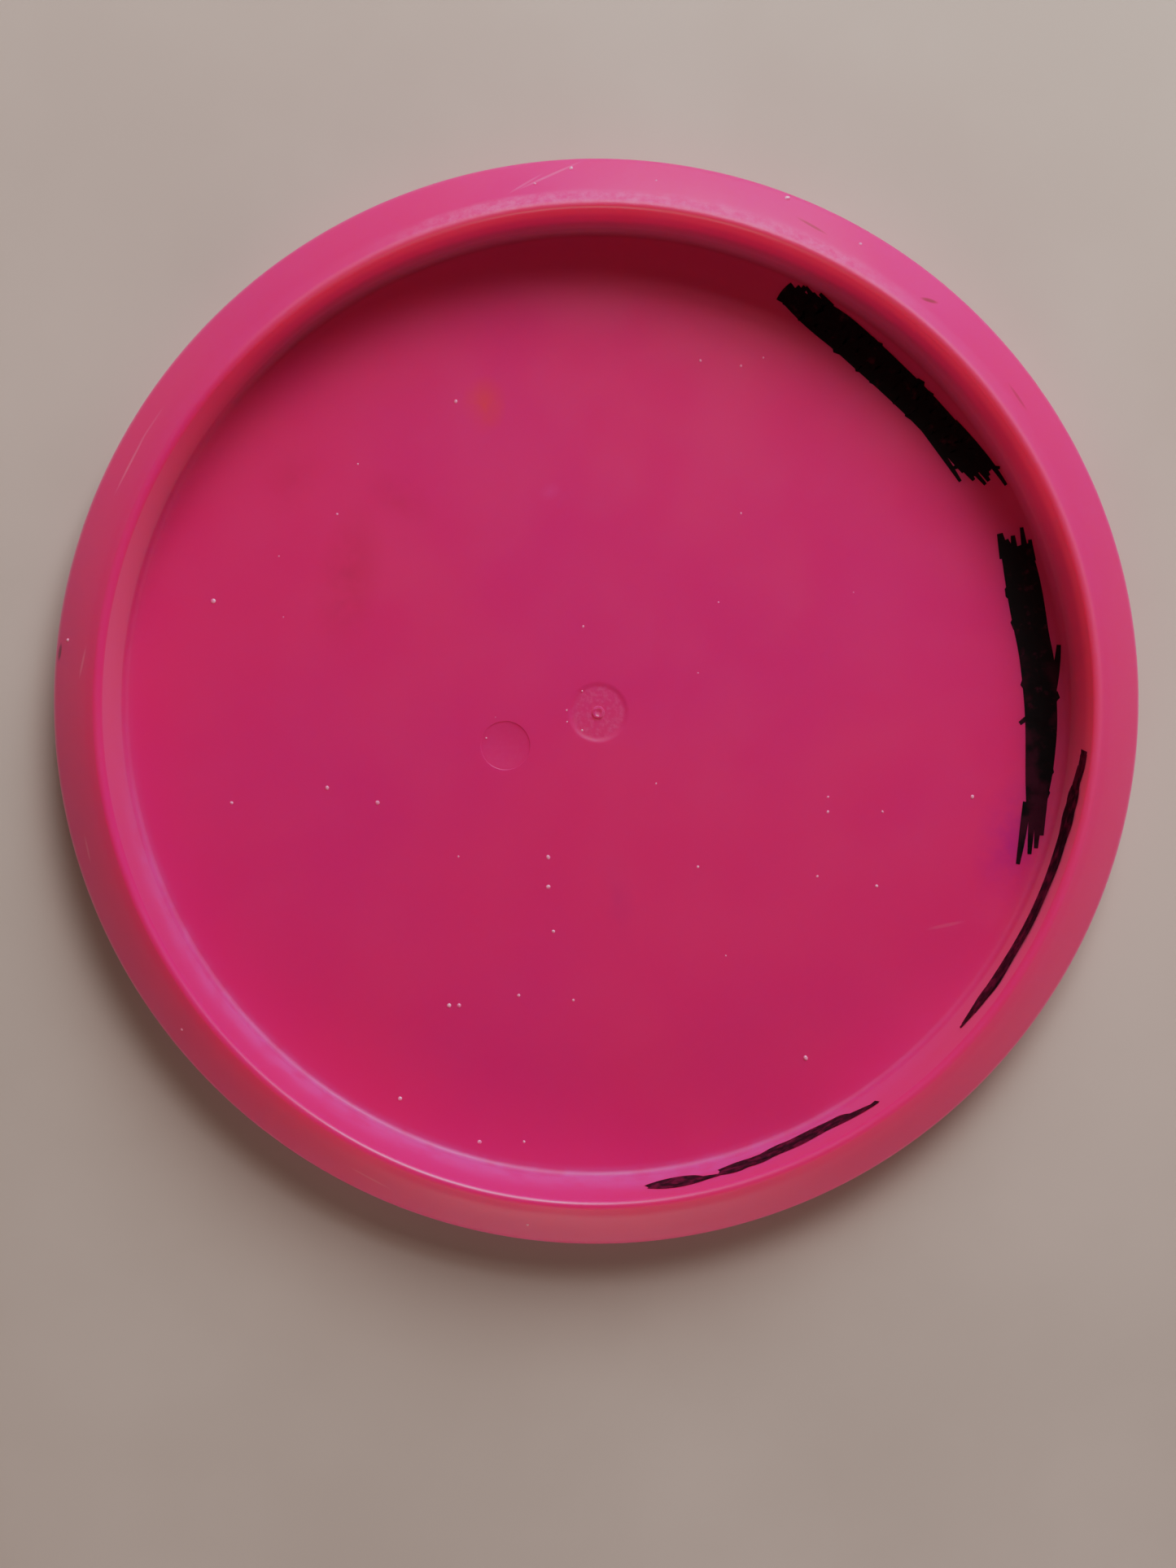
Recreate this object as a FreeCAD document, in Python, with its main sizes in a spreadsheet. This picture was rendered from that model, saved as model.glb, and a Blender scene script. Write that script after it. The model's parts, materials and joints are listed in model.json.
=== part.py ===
"""A golf disc (a small flying disc thrown at a target), lying hollow side up.

The row frame: +Z is the axis of the disc, out of the hollow; Z = 0 is the outer
face of the flight plate, on which the disc rests; the origin is on the axis.
+Y and +X are the two directions the ink marks are placed by. Millimetres.

One moulding (plate, rim, gate mark and ring mark are one shot of plastic), and
four films of marker ink laid on it.
"""
import FreeCAD, Part

import math
import os

import Sketcher

V = FreeCAD.Vector
doc = FreeCAD.newDocument("golf_disc")

# ---------------------------------------------------------------- the sizes
# Every independent size has one name here. All millimetres, angles in degrees.
SIZES = [
    # the moulding, seen in section from the axis outwards
    ("outside_diameter", 212.0),    # over the nose, the widest ring of the rim
    ("overall_height", 18.3),       # resting face to the top of the rim ridge
    ("plate_thickness", 2.4),       # flight plate
    ("shoulder_width", 26.0),       # nose in to the flat that the disc rests on
    ("rim_width", 11.8),            # nose in to where the inner wall meets the plate
    ("wall_draft", 1.5),            # the wall leans outwards, for release
    ("shoulder_radius", 250.0),     # slow curve from the flat to the nose
    ("nose_height", 8.6),           # of the widest ring above the resting face
    ("nose_rounding", 3.0),         # upper side of the nose
    ("ridge_rounding", 1.1),        # top of the rim ridge
    ("junction_rounding", 1.6),     # foot of the inner wall
    # marks left by the mould
    ("gate_recess_diameter", 11.0),  # shallow round recess at the gate, on the axis
    ("gate_nub_diameter", 2.4),     # broken sprue in the middle of it
    ("gate_nub_rise", 0.30),        # above the floor of the recess
    ("pin_recess_diameter", 9.8),   # round recess left by a pin, beside the gate
    ("pin_recess_x", -18.5),
    ("pin_recess_y", -6.6),
    ("mark_depth", 0.15),           # of both recesses
    # marker ink
    ("ink_thickness", 0.10),        # a thicker stand-in for real dried ink
    ("wall_ink_clear", 0.3),        # the ink on the wall stops this far short of the
                                    # roundings at its foot and on the ridge
]
sheet = doc.addObject("Spreadsheet::Sheet", "Sizes")
for row, (name, value) in enumerate(SIZES, start=1):
    sheet.set("A%d" % row, name)
    sheet.set("B%d" % row, str(value))
    sheet.setAlias("B%d" % row, name)
doc.recompute()
S = {name: float(sheet.get(name)) for name, _ in SIZES}

# Lengths that several pieces share, written as the sheet's own expressions.
HOLLOW_RADIUS = "(Sizes.outside_diameter / 2 - Sizes.rim_width)"
MIDDLE_HEIGHT = "(Sizes.plate_thickness + Sizes.overall_height) / 2"
hollow = S["outside_diameter"] / 2 - S["rim_width"]
middle_height = (S["plate_thickness"] + S["overall_height"]) / 2

# The two blocked-out words on the plate follow the edge of its flat part. Each corner:
# (direction in degrees from +X, distance in from where the plate starts to curve up).
NAME_CORNERS = [(66.5, 5.3), (57.5, 8.2), (46.5, 8.7), (38.5, 7.5), (32.5, 7.9), (32.5, 4.7),
                (30.0, 3.8), (31.0, 1.0), (29.0, 0.2), (33.5, 0.5), (41.5, 1.2), (49.5, 1.1),
                (56.0, 0.3), (62.5, 0.2), (65.0, 0.4)]
NUMBER_CORNERS = [(25.5, 4.5), (24.0, 7.5), (20.0, 6.8), (11.0, 8.2), (6.0, 7.8), (-2.0, 6.5),
                  (-9.5, 5.5), (-13.5, 4.2), (-14.5, 7.4), (-15.0, 3.5), (-20.5, 2.2),
                  (-19.0, 0.8), (-17.0, 0.2), (-15.0, 0.2), (-12.5, 0.2), (-5.5, 0.2),
                  (1.5, 0.2), (5.5, 0.3), (9.0, 0.5), (12.5, 1.5), (17.0, 0.3), (22.0, 0.2),
                  (24.0, 0.7), (22.0, 2.9), (23.0, 4.6)]

# The two on the inner wall. Along the middle of each patch: (direction in
# degrees, height from the middle of the wall, half the height of the patch).
RIGHT_PATCH = [(-41.5, 1.2, 0.5), (-40.0, 1.0, 1.7), (-36.0, 0.6, 3.0), (-31.0, 0.2, 2.5),
               (-20.2, 0.2, 2.4), (-14.0, 0.0, 3.3), (-10.6, 0.2, 3.8), (-7.0, 1.6, 2.2),
               (-4.2, 3.0, 1.5)]
LOWER_PATCH = [(-84.8, 0.6, 0.6), (-82.5, 0.4, 2.8), (-79.0, -0.4, 3.2), (-75.0, -1.2, 2.6),
               (-70.0, -2.2, 2.8), (-64.0, -2.6, 2.6), (-58.0, -1.2, 2.3), (-54.0, 1.2, 1.4)]


# ------------------------------------------------------------- small helpers
def origin_plane(body, role):
    """One of the body's own three planes, found by the part it plays."""
    for item in body.Origin.OriginFeatures:
        if item.Role == role:
            return item
    raise ValueError(role)


def new_sketch(body, name, role):
    sketch = body.newObject("Sketcher::SketchObject", name)
    sketch.AttachmentSupport = [(origin_plane(body, role), "")]
    sketch.MapMode = "FlatFace"
    return sketch


def bind(sketch, kind, *where, to, about=0.0):
    """Add one sized constraint and tie it to the sheet."""
    index = sketch.addConstraint(Sketcher.Constraint(kind, *where, about))
    sketch.setExpression("Constraints[%d]" % index, to)


def line(p, q):
    return Part.LineSegment(V(p[0], p[1], 0), V(q[0], q[1], 0))


def arc(centre, radius, start, end):
    circle = Part.Circle(V(centre[0], centre[1], 0), V(0, 0, 1), radius)
    return Part.ArcOfCircle(circle, start, end)


def closed_outline(sketch, points, words):
    """A closed chain of straight edges. Every corner is held by its two words,
    expressions that follow the sheet, and starts at the point they give now."""
    count = len(points)
    for i in range(count):
        sketch.addGeometry(line(points[i], points[(i + 1) % count]), False)
    for i in range(count):
        sketch.addConstraint(Sketcher.Constraint("Coincident", i, 2, (i + 1) % count, 1))
    for i, (x, y) in enumerate(points):
        bind(sketch, "DistanceX", -1, 1, i, 1, to=words[i][0], about=x)
        bind(sketch, "DistanceY", -1, 1, i, 1, to=words[i][1], about=y)


# ============================================================== the moulding
moulding = doc.addObject("PartDesign::Body", "disc_moulding")
moulding.Label = "disc_moulding"

# The section is a half outline in the XZ plane, turned once round the axis.
# The first positions are worked out from the sizes, so the solver starts true.
R, H, T = S["outside_diameter"] / 2, S["overall_height"], S["plate_thickness"]
flat = R - S["shoulder_width"]
big, nose, up = S["shoulder_radius"], S["nose_height"], S["nose_rounding"]
ridge, foot = S["ridge_rounding"], S["junction_rounding"]
lean = math.radians(S["wall_draft"])

# lower nose arc: touches the shoulder arc and stands upright at the nose
low = (big ** 2 - (R - flat) ** 2 - (big - nose) ** 2) / (2 * (big - (R - flat)))
low_c = (R - low, nose)
reach = big - low
touch = (low_c[0] + low * (low_c[0] - flat) / reach, nose - low * (big - nose) / reach)
touch_a = math.atan2(touch[1] - nose, touch[0] - low_c[0])
big_a = math.atan2(touch[1] - big, touch[0] - flat)

# foot of the wall: a small arc between plate and wall, ending at the hollow radius
wall_n = (math.cos(lean), -math.sin(lean))       # from the hollow into the rim
foot_c = (hollow - foot * wall_n[0], T + foot)
foot_top = (foot_c[0] + foot * wall_n[0], foot_c[1] + foot * wall_n[1])


def wall_at(z):
    """Radius of the inner wall at a height."""
    return foot_top[0] + (z - foot_top[1]) * math.tan(lean)



# ridge arc: touches the wall, its top is the overall height
ridge_z = H - ridge
ridge_c = (wall_at(ridge_z) + ridge / math.cos(lean), ridge_z)
wall_top = (ridge_c[0] - ridge * wall_n[0], ridge_c[1] - ridge * wall_n[1])

# upper nose arc and the band: one straight line touching both arcs
up_c = (R - up, nose)
dx, dz = ridge_c[0] - up_c[0], ridge_c[1] - up_c[1]
band_a = math.atan2(dz, dx) - math.acos((up - ridge) / math.hypot(dx, dz))
band_n = (math.cos(band_a), math.sin(band_a))
band_low = (up_c[0] + up * band_n[0], up_c[1] + up * band_n[1])
band_top = (ridge_c[0] + ridge * band_n[0], ridge_c[1] + ridge * band_n[1])

section = new_sketch(moulding, "section", "XZ_Plane")
(FLAT, SHOULDER, NOSE_LOW, NOSE_UP, BAND, RIDGE, WALL, FOOT, PLATE, AXIS) = range(10)
section.addGeometry([
    line((0, 0), (flat, 0)),
    arc((flat, big), big, -math.pi / 2, big_a),
    arc(low_c, low, touch_a, 0.0),
    arc(up_c, up, 0.0, band_a),
    line(band_low, band_top),
    arc(ridge_c, ridge, band_a, math.pi - lean),
    line(wall_top, foot_top),
    arc(foot_c, foot, -math.pi / 2, -lean),
    line((foot_c[0], T), (0, T)),
    line((0, T), (0, 0)),
], False)
C = Sketcher.Constraint
section.addConstraint([
    C("Coincident", FLAT, 1, -1, 1),
    C("Horizontal", FLAT),
    C("Tangent", FLAT, 2, SHOULDER, 1),
    C("Tangent", SHOULDER, 2, NOSE_LOW, 1),
    C("Tangent", NOSE_LOW, 2, NOSE_UP, 1),
    C("Horizontal", NOSE_LOW, 2, NOSE_LOW, 3),
    C("Tangent", NOSE_UP, 2, BAND, 1),
    C("Tangent", BAND, 2, RIDGE, 1),
    C("Tangent", RIDGE, 2, WALL, 1),
    C("Tangent", WALL, 2, FOOT, 2),
    C("Tangent", FOOT, 1, PLATE, 1),
    C("Horizontal", PLATE),
    C("Coincident", PLATE, 2, AXIS, 1),
    C("Coincident", AXIS, 2, FLAT, 1),
    C("Vertical", AXIS),
])
bind(section, "DistanceX", FLAT, 1, FLAT, 2,
     to="Sizes.outside_diameter / 2 - Sizes.shoulder_width", about=flat)
bind(section, "DistanceX", FLAT, 1, NOSE_LOW, 2, to="Sizes.outside_diameter / 2", about=R)
bind(section, "DistanceY", FLAT, 1, NOSE_LOW, 2, to="Sizes.nose_height", about=nose)
bind(section, "Radius", SHOULDER, to="Sizes.shoulder_radius", about=big)
bind(section, "Radius", NOSE_UP, to="Sizes.nose_rounding", about=up)
bind(section, "Radius", RIDGE, to="Sizes.ridge_rounding", about=ridge)
bind(section, "DistanceY", FLAT, 1, RIDGE, 3,
     to="Sizes.overall_height - Sizes.ridge_rounding", about=ridge_z)
bind(section, "DistanceY", AXIS, 2, AXIS, 1, to="Sizes.plate_thickness", about=T)
bind(section, "Radius", FOOT, to="Sizes.junction_rounding", about=foot)
bind(section, "DistanceX", FLAT, 1, FOOT, 2, to=HOLLOW_RADIUS, about=foot_top[0])
bind(section, "Angle", WALL, 2, AXIS, 2, to="Sizes.wall_draft", about=lean)

turned = moulding.newObject("PartDesign::Revolution", "turned_section")
turned.Profile = section
turned.ReferenceAxis = (section, ["V_Axis"])
turned.Angle = 360.0
section.Visibility = False
doc.recompute()

# Marks of the mould in the inner face of the plate. First the gate on the axis:
# a shallow round recess, turned away, and then the nub of sprue left inside it.
plain = moulding.Shape.Volume
deep = S["mark_depth"]


def box_section(name, radius, radius_word, low, low_word, tall, tall_word):
    """A sketch of an upright rectangle from the axis outwards, held by the sheet."""
    sketch = new_sketch(moulding, name, "XZ_Plane")
    corners = [(0.0, low), (radius, low), (radius, low + tall), (0.0, low + tall)]
    for i in range(4):
        sketch.addGeometry(line(corners[i], corners[(i + 1) % 4]), False)
    for i in range(4):
        sketch.addConstraint(C("Coincident", i, 2, (i + 1) % 4, 1))
    sketch.addConstraint([C("Horizontal", 0), C("Vertical", 1), C("Horizontal", 2),
                          C("PointOnObject", 0, 1, -2), C("PointOnObject", 3, 1, -2)])
    bind(sketch, "DistanceX", 0, 1, 0, 2, to=radius_word, about=radius)
    bind(sketch, "DistanceY", -1, 1, 0, 1, to=low_word, about=low)
    bind(sketch, "DistanceY", 1, 1, 1, 2, to=tall_word, about=tall)
    sketch.Visibility = False
    return sketch


gate = box_section("gate_recess_section", S["gate_recess_diameter"] / 2, "Sizes.gate_recess_diameter / 2",
                   T - deep, "Sizes.plate_thickness - Sizes.mark_depth", deep, "Sizes.mark_depth")
gate_recess = moulding.newObject("PartDesign::Groove", "gate_recess")
gate_recess.Profile = gate
gate_recess.ReferenceAxis = (gate, ["V_Axis"])
gate_recess.Angle = 360.0
doc.recompute()
with_recess = moulding.Shape.Volume

nub = box_section("gate_nub_section", S["gate_nub_diameter"] / 2, "Sizes.gate_nub_diameter / 2",
                  T - deep, "Sizes.plate_thickness - Sizes.mark_depth",
                  S["gate_nub_rise"], "Sizes.gate_nub_rise")
gate_nub = moulding.newObject("PartDesign::Revolution", "gate_nub")
gate_nub.Profile = nub
gate_nub.ReferenceAxis = (nub, ["V_Axis"])
gate_nub.Angle = 360.0
doc.recompute()
with_nub = moulding.Shape.Volume

# Then the round recess beside it, a circle on the plate pocketed by the depth.
pin = new_sketch(moulding, "pin_circle", "XY_Plane")
pin.setExpression("AttachmentOffset.Base.z", "Sizes.plate_thickness")
pin.addGeometry(Part.Circle(V(S["pin_recess_x"], S["pin_recess_y"], 0), V(0, 0, 1),
                            S["pin_recess_diameter"] / 2), False)
bind(pin, "DistanceX", -1, 1, 0, 3, to="Sizes.pin_recess_x", about=S["pin_recess_x"])
bind(pin, "DistanceY", -1, 1, 0, 3, to="Sizes.pin_recess_y", about=S["pin_recess_y"])
bind(pin, "Diameter", 0, to="Sizes.pin_recess_diameter", about=S["pin_recess_diameter"])
pin.Visibility = False
pin_recess = moulding.newObject("PartDesign::Pocket", "pin_recess")
pin_recess.Profile = pin
pin_recess.setExpression("Length", "Sizes.mark_depth")
doc.recompute()
if not (with_recess < plain and with_nub > with_recess and moulding.Shape.Volume < with_nub):
    raise RuntimeError("a recess must take plastic away, and the nub must add some")


# ======================================================= ink on the flat plate
def plate_ink(name, corners):
    """A film of ink lying on the inner face of the plate."""
    body = doc.addObject("PartDesign::Body", name)
    body.Label = name
    sketch = new_sketch(body, name + "_outline", "XY_Plane")
    sketch.setExpression("AttachmentOffset.Base.z", "Sizes.plate_thickness")
    points, words = [], []
    for degrees, inset in corners:
        turn = math.radians(degrees)
        away = hollow - foot - inset
        points.append((away * math.cos(turn), away * math.sin(turn)))
        reach = "(%s - Sizes.junction_rounding - %g)" % (HOLLOW_RADIUS, inset)
        words.append(("%s * cos((%g) * 1deg)" % (reach, degrees),
                      "%s * sin((%g) * 1deg)" % (reach, degrees)))
    closed_outline(sketch, points, words)
    film = body.newObject("PartDesign::Pad", name + "_film")
    film.Profile = sketch
    film.setExpression("Length", "Sizes.ink_thickness")
    sketch.Visibility = False
    doc.recompute()
    return body


name_ink = plate_ink("name_blackout_ink", NAME_CORNERS)
number_ink = plate_ink("number_blackout_ink", NUMBER_CORNERS)


# ==================================================== ink on the leaning wall
def wall_ink(name, patch):
    """A film of ink on the wall: a thin skin of the cone, cut to the patch.

    The skin is a leaning strip turned part of the way round the axis. The patch
    outline stands upright in front of it and is padded outwards through it.
    """
    low_z = S["plate_thickness"] + foot + S["wall_ink_clear"]
    top_z = S["overall_height"] - ridge - S["wall_ink_clear"]
    thick = S["ink_thickness"]
    start, end = patch[0][0] - 1.0, patch[-1][0] + 1.0
    middle = (start + end) / 2

    skin = doc.addObject("PartDesign::Body", name + "_skin")
    strip = new_sketch(skin, name + "_strip", "XZ_Plane")
    corners = [(wall_at(low_z) - thick, low_z), (wall_at(low_z), low_z),
               (wall_at(top_z), top_z), (wall_at(top_z) - thick, top_z)]
    for i in range(4):
        strip.addGeometry(line(corners[i], corners[(i + 1) % 4]), False)
    for i in range(4):
        strip.addConstraint(C("Coincident", i, 2, (i + 1) % 4, 1))
    strip.addConstraint([C("Horizontal", 0), C("Horizontal", 2), C("Parallel", 1, 3)])
    low_word = "(Sizes.plate_thickness + Sizes.junction_rounding + Sizes.wall_ink_clear)"
    top_word = "(Sizes.overall_height - Sizes.ridge_rounding - Sizes.wall_ink_clear)"
    wall_word = HOLLOW_RADIUS + " + (%s - Sizes.plate_thickness - Sizes.junction_rounding" \
        " * (1 - sin(Sizes.wall_draft * 1deg))) * tan(Sizes.wall_draft * 1deg)"
    bind(strip, "DistanceY", -1, 1, 0, 1, to=low_word, about=low_z)
    bind(strip, "DistanceY", -1, 1, 2, 1, to=top_word, about=top_z)
    bind(strip, "DistanceX", 0, 1, 0, 2, to="Sizes.ink_thickness", about=thick)
    bind(strip, "DistanceX", -1, 1, 0, 2, to=wall_word % low_word, about=wall_at(low_z))
    bind(strip, "DistanceX", -1, 1, 1, 2, to=wall_word % top_word, about=wall_at(top_z))
    round_wall = skin.newObject("PartDesign::Revolution", name + "_round")
    round_wall.Profile = strip
    round_wall.ReferenceAxis = (strip, ["V_Axis"])
    round_wall.Angle = end - start
    round_wall.Midplane = True
    strip.Visibility = False

    cutter = doc.addObject("PartDesign::Body", name + "_cutter")
    shape = new_sketch(cutter, name + "_patch", "YZ_Plane")
    shape.setExpression("AttachmentOffset.Base.z", HOLLOW_RADIUS + " / 2")
    points, words = [], []
    for side, run in ((-1, patch), (1, list(reversed(patch)))):
        for degrees, height, half in run:
            turn, rise = degrees - middle, height + side * half
            points.append((hollow * math.sin(math.radians(turn)), middle_height + rise))
            words.append(("%s * sin((%g) * 1deg)" % (HOLLOW_RADIUS, turn),
                          "%s + (%g)" % (MIDDLE_HEIGHT, rise)))
    closed_outline(shape, points, words)
    block = cutter.newObject("PartDesign::Pad", name + "_block")
    block.Profile = shape
    block.setExpression("Length", HOLLOW_RADIUS)
    shape.Visibility = False

    turn = FreeCAD.Placement(V(0, 0, 0), FreeCAD.Rotation(V(0, 0, 1), middle))
    skin.Placement = turn
    cutter.Placement = turn
    film = doc.addObject("Part::MultiCommon", name)
    film.Shapes = [skin, cutter]
    film.Label = name
    doc.recompute()
    return film


right_ink = wall_ink("wall_blackout_right", RIGHT_PATCH)
lower_ink = wall_ink("wall_blackout_lower", LOWER_PATCH)

# =================================================================== hand over
doc.recompute()
for item in doc.Objects:
    if "Invalid" in item.State or "Error" in item.State:
        raise RuntimeError("%s does not recompute: %s" % (item.Label, item.State))

nodes = [moulding, name_ink, number_ink, right_ink, lower_ink]
os.makedirs("parts", exist_ok=True)
for node in nodes:
    shape = node.Shape
    if shape.isNull() or not shape.isValid() or len(shape.Solids) != 1:
        raise RuntimeError("%s is not one good solid" % node.Label)
    shape.exportStep("parts/%s.step" % node.Label)
    tight = shape.optimalBoundingBox(False, False)
    print("%-22s %10.1f mm3   x %.2f..%.2f  y %.2f..%.2f  z %.2f..%.2f" % (
        node.Label, shape.Volume, tight.XMin, tight.XMax, tight.YMin, tight.YMax,
        tight.ZMin, tight.ZMax))
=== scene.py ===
# %% [markdown]
# # A golf disc, lying hollow side up
# A golf disc is one shot of soft, glossy plastic: a thin flat flight plate with a thick
# rim round it. This one lies on its plate, so we look into its hollow. Words written by
# the rim have been blocked out with a marker pen. First we load the fixed frame, and keep
# its box, because the looks may not grow past it.

# %% Load the frame
import json
import math
import random

import bpy
from mathutils import Matrix, Vector

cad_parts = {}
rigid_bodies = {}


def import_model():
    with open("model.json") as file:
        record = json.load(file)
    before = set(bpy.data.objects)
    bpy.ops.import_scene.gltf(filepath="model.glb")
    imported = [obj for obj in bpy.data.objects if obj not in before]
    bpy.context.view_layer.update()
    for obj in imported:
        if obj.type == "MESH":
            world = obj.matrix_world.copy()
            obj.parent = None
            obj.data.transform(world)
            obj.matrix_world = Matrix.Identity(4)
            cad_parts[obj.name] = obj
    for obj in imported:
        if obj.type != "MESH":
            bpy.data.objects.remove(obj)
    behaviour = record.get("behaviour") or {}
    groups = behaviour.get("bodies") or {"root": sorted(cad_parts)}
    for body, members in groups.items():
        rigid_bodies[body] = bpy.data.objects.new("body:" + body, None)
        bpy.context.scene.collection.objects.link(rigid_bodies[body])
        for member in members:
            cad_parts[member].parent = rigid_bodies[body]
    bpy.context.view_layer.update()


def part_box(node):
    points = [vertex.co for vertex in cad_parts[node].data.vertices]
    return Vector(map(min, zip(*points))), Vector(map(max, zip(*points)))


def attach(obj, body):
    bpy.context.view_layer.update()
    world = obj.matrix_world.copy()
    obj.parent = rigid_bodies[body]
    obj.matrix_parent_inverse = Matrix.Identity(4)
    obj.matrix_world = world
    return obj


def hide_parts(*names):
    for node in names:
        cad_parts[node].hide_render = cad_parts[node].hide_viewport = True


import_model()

mm = 0.001

# %% [markdown]
# ## The camera
# It looks down into the hollow from a little under 37 cm away, leaning 4.5 degrees off the
# axis, with a lens of about 42 mm. A look-down camera has no natural "up", so its three
# axes are built from the direction it looks back along and from +Y.

# %% Camera
camera_place = Vector((-8.5, 14.0, 366.4)) * mm
aim = Vector((-2.0, -14.5, 0.0)) * mm

back = (camera_place - aim).normalized()
right = Vector((0, 1, 0)).cross(back).normalized()
up = back.cross(right)
lens_data = bpy.data.cameras.new("camera")
lens_data.lens = 42.0
lens_data.clip_start = 0.01
camera = bpy.data.objects.new("camera", lens_data)
facing = Matrix((right, up, back)).transposed().to_4x4()
camera.matrix_world = Matrix.Translation(camera_place) @ facing
bpy.context.scene.collection.objects.link(camera)
bpy.context.scene.camera = camera
print("camera", [round(c / mm, 1) for c in camera_place], "mm, lens", lens_data.lens)

# %% [markdown]
# ## Sizes of the section
# A disc is round, so everything about its shape is in one half section. The outside radius
# and the height come from the frame. The rest are the disc's own sizes.

# %% Sizes
low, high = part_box("disc_moulding")
outside = high.x                 # radius over the nose, the widest ring
height = high.z                  # resting face to the top of the rim ridge
plate = 2.4 * mm                 # thickness of the flight plate
hollow = outside - 11.8 * mm     # radius where the inner wall meets the plate
lean = math.radians(1.5)         # the wall leans outwards this much
nose_height = 8.6 * mm
nose_round = 3.0 * mm
ridge_round = 1.1 * mm
foot_round = 1.6 * mm
shoulder = 26.0 * mm             # nose in to where the flat face begins
shoulder_round = 250.0 * mm


def wall_radius(z):
    """Radius of the inner wall at a height."""
    return hollow + (z - plate - foot_round) * math.tan(lean)


print("hollow %.1f mm across, wall %.1f mm tall" % (2 * hollow / mm, (height - plate) / mm))

# %% [markdown]
# ## The rim's corners
# The section is drawn as straight lines with sharp corners, and the corners are rounded
# afterwards, as a pattern maker would. Where two straight lines are joined by an arc, the
# arc starts a certain way back from the corner: that length is what the bevel needs. The
# outer band of the rim is the straight line that touches both the nose's rounding and the
# ridge's rounding. The ridge has two corners, so that its top comes out at the full height.

# %% Corners of the section
ridge_middle = Vector((wall_radius(height - ridge_round) + ridge_round / math.cos(lean),
                       height - ridge_round))
nose_middle = Vector((outside - nose_round, nose_height))
across = ridge_middle - nose_middle
band_turn = math.atan2(across.y, across.x) - math.acos((nose_round - ridge_round) / across.length)
band_out = Vector((math.cos(band_turn), math.sin(band_turn)))      # the band faces this way
band_low = nose_middle + nose_round * band_out
band_slope = -band_out.x / band_out.y                              # rise for each step outwards

nose_corner = Vector((outside, band_low.y + band_slope * (outside - band_low.x)))
top_out = Vector((band_low.x + (height - band_low.y) / band_slope, height))
top_in = Vector((wall_radius(height), height))

flat_edge = outside - shoulder
low_round = (shoulder_round ** 2 - shoulder ** 2 - (shoulder_round - nose_height) ** 2) \
    / (2 * (shoulder_round - shoulder))
slow_turn = math.atan2(outside - low_round - flat_edge, shoulder_round - nose_height)
slow_corner = Vector((flat_edge + shoulder_round * math.tan(slow_turn / 2), 0.0))
low_corner = Vector((outside, (outside - slow_corner.x) * math.tan(slow_turn)))
print("band leans %.0f degrees from level, nose corner %.1f mm up, ridge %.2f mm wide" % (
    math.degrees(math.atan(-band_slope)), nose_corner.y / mm, (top_out.x - top_in.x) / mm))

# %% [markdown]
# ## Two small helpers
# Blender's operators work on whatever is selected, so everything is deselected before a new
# piece is started. The second helper picks mesh points by their place, in edit mode.

# %% Helpers for editing
def begin():
    """Nothing selected, object mode, cursor at the origin."""
    if bpy.context.object and bpy.context.object.mode != "OBJECT":
        bpy.ops.object.mode_set(mode="OBJECT")
    bpy.ops.object.select_all(action="DESELECT")
    bpy.context.scene.cursor.location = (0, 0, 0)


def pick_points(piece, test):
    """Selects the points of a piece that pass a test on their place; stays in edit mode."""
    bpy.ops.mesh.select_mode(type="VERT")
    bpy.ops.mesh.select_all(action="DESELECT")
    bpy.ops.object.mode_set(mode="OBJECT")
    count = 0
    for vertex in piece.data.vertices:
        vertex.select = bool(test(vertex.co))
        count += vertex.select
    bpy.ops.object.mode_set(mode="EDIT")
    return count


# %% [markdown]
# ## The section as a line
# A small plane is merged into a single point on the axis. That point is extruded along the
# outline: out over the flat, up the rim, down the inner wall and back over the plate to the
# gate mark in the middle. A few extra points beside the roundings keep the flats flat when
# the shading is smoothed.

# %% Draw the half section
recess = 0.15 * mm               # depth of the mould's marks
gate = 5.5 * mm                  # radius of the gate's recess
outline = [
    (0, 0), (flat_edge - 6 * mm, 0), tuple(slow_corner), tuple(low_corner), tuple(nose_corner),
    tuple(top_out), tuple(top_in), (hollow, plate),
    (hollow - 1.2 * mm, plate), (hollow - 2.5 * mm, plate),
    (60 * mm, plate), (30 * mm, plate), (gate + 0.8 * mm, plate), (gate + 0.2 * mm, plate),
    (gate - 0.05 * mm, plate - recess), (gate - 0.7 * mm, plate - recess),
    (1.9 * mm, plate - recess), (1.25 * mm, plate - recess), (1.15 * mm, plate + 0.12 * mm),
    (0.80 * mm, plate + 0.15 * mm), (0.55 * mm, plate - 0.02 * mm), (0.0, plate - 0.04 * mm),
]
begin()
bpy.ops.mesh.primitive_plane_add(size=mm, location=(0, 0, 0))
disc = bpy.context.object
disc.name = disc.data.name = "disc_body"
bpy.ops.object.mode_set(mode="EDIT")
bpy.ops.mesh.merge(type="CENTER")
place = Vector(outline[0])
for step in outline[1:]:
    move = Vector(step) - place
    bpy.ops.mesh.extrude_region_move(TRANSFORM_OT_translate={"value": (move.x, 0, move.y)})
    place = Vector(step)
bpy.ops.object.mode_set(mode="OBJECT")
print("section line with", len(disc.data.vertices), "points")

# %% [markdown]
# ## Round the corners, then turn it
# Each corner is bevelled by its own length. The line is then spun once round the axis, the
# seam and the two poles are merged, and the faces are made to point outwards.

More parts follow.
